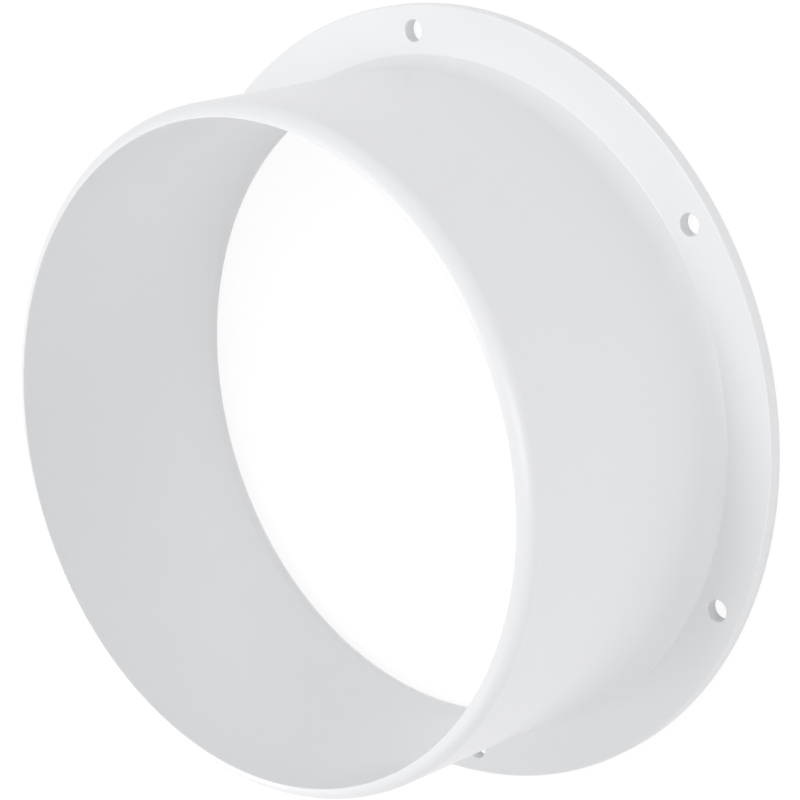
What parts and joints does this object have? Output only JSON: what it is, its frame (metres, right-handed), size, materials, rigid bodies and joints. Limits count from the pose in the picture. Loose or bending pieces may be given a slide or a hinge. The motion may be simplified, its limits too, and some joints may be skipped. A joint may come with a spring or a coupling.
{
  "type": "duct connector flange",
  "caption": "Round white plastic duct connector: a straight spigot tube on a flat screw-on flange, with a rounded mouth and a flared inlet at the back.",
  "frame": {"origin": "centre of the bore at the flange's flat back face, where the fitting meets the wall, ceiling or box", "axes": "+Z along the tube's axis, from the back face towards the mouth; +X through the centre of one screw hole"},
  "size_m": [0.176, 0.176, 0.0655],
  "materials": {
    "white_plastic": "white moulded plastic with a soft satin gloss"
  },
  "bodies": {
    "root": {"duct_flange": "white_plastic"}
  },
  "joints": []
}
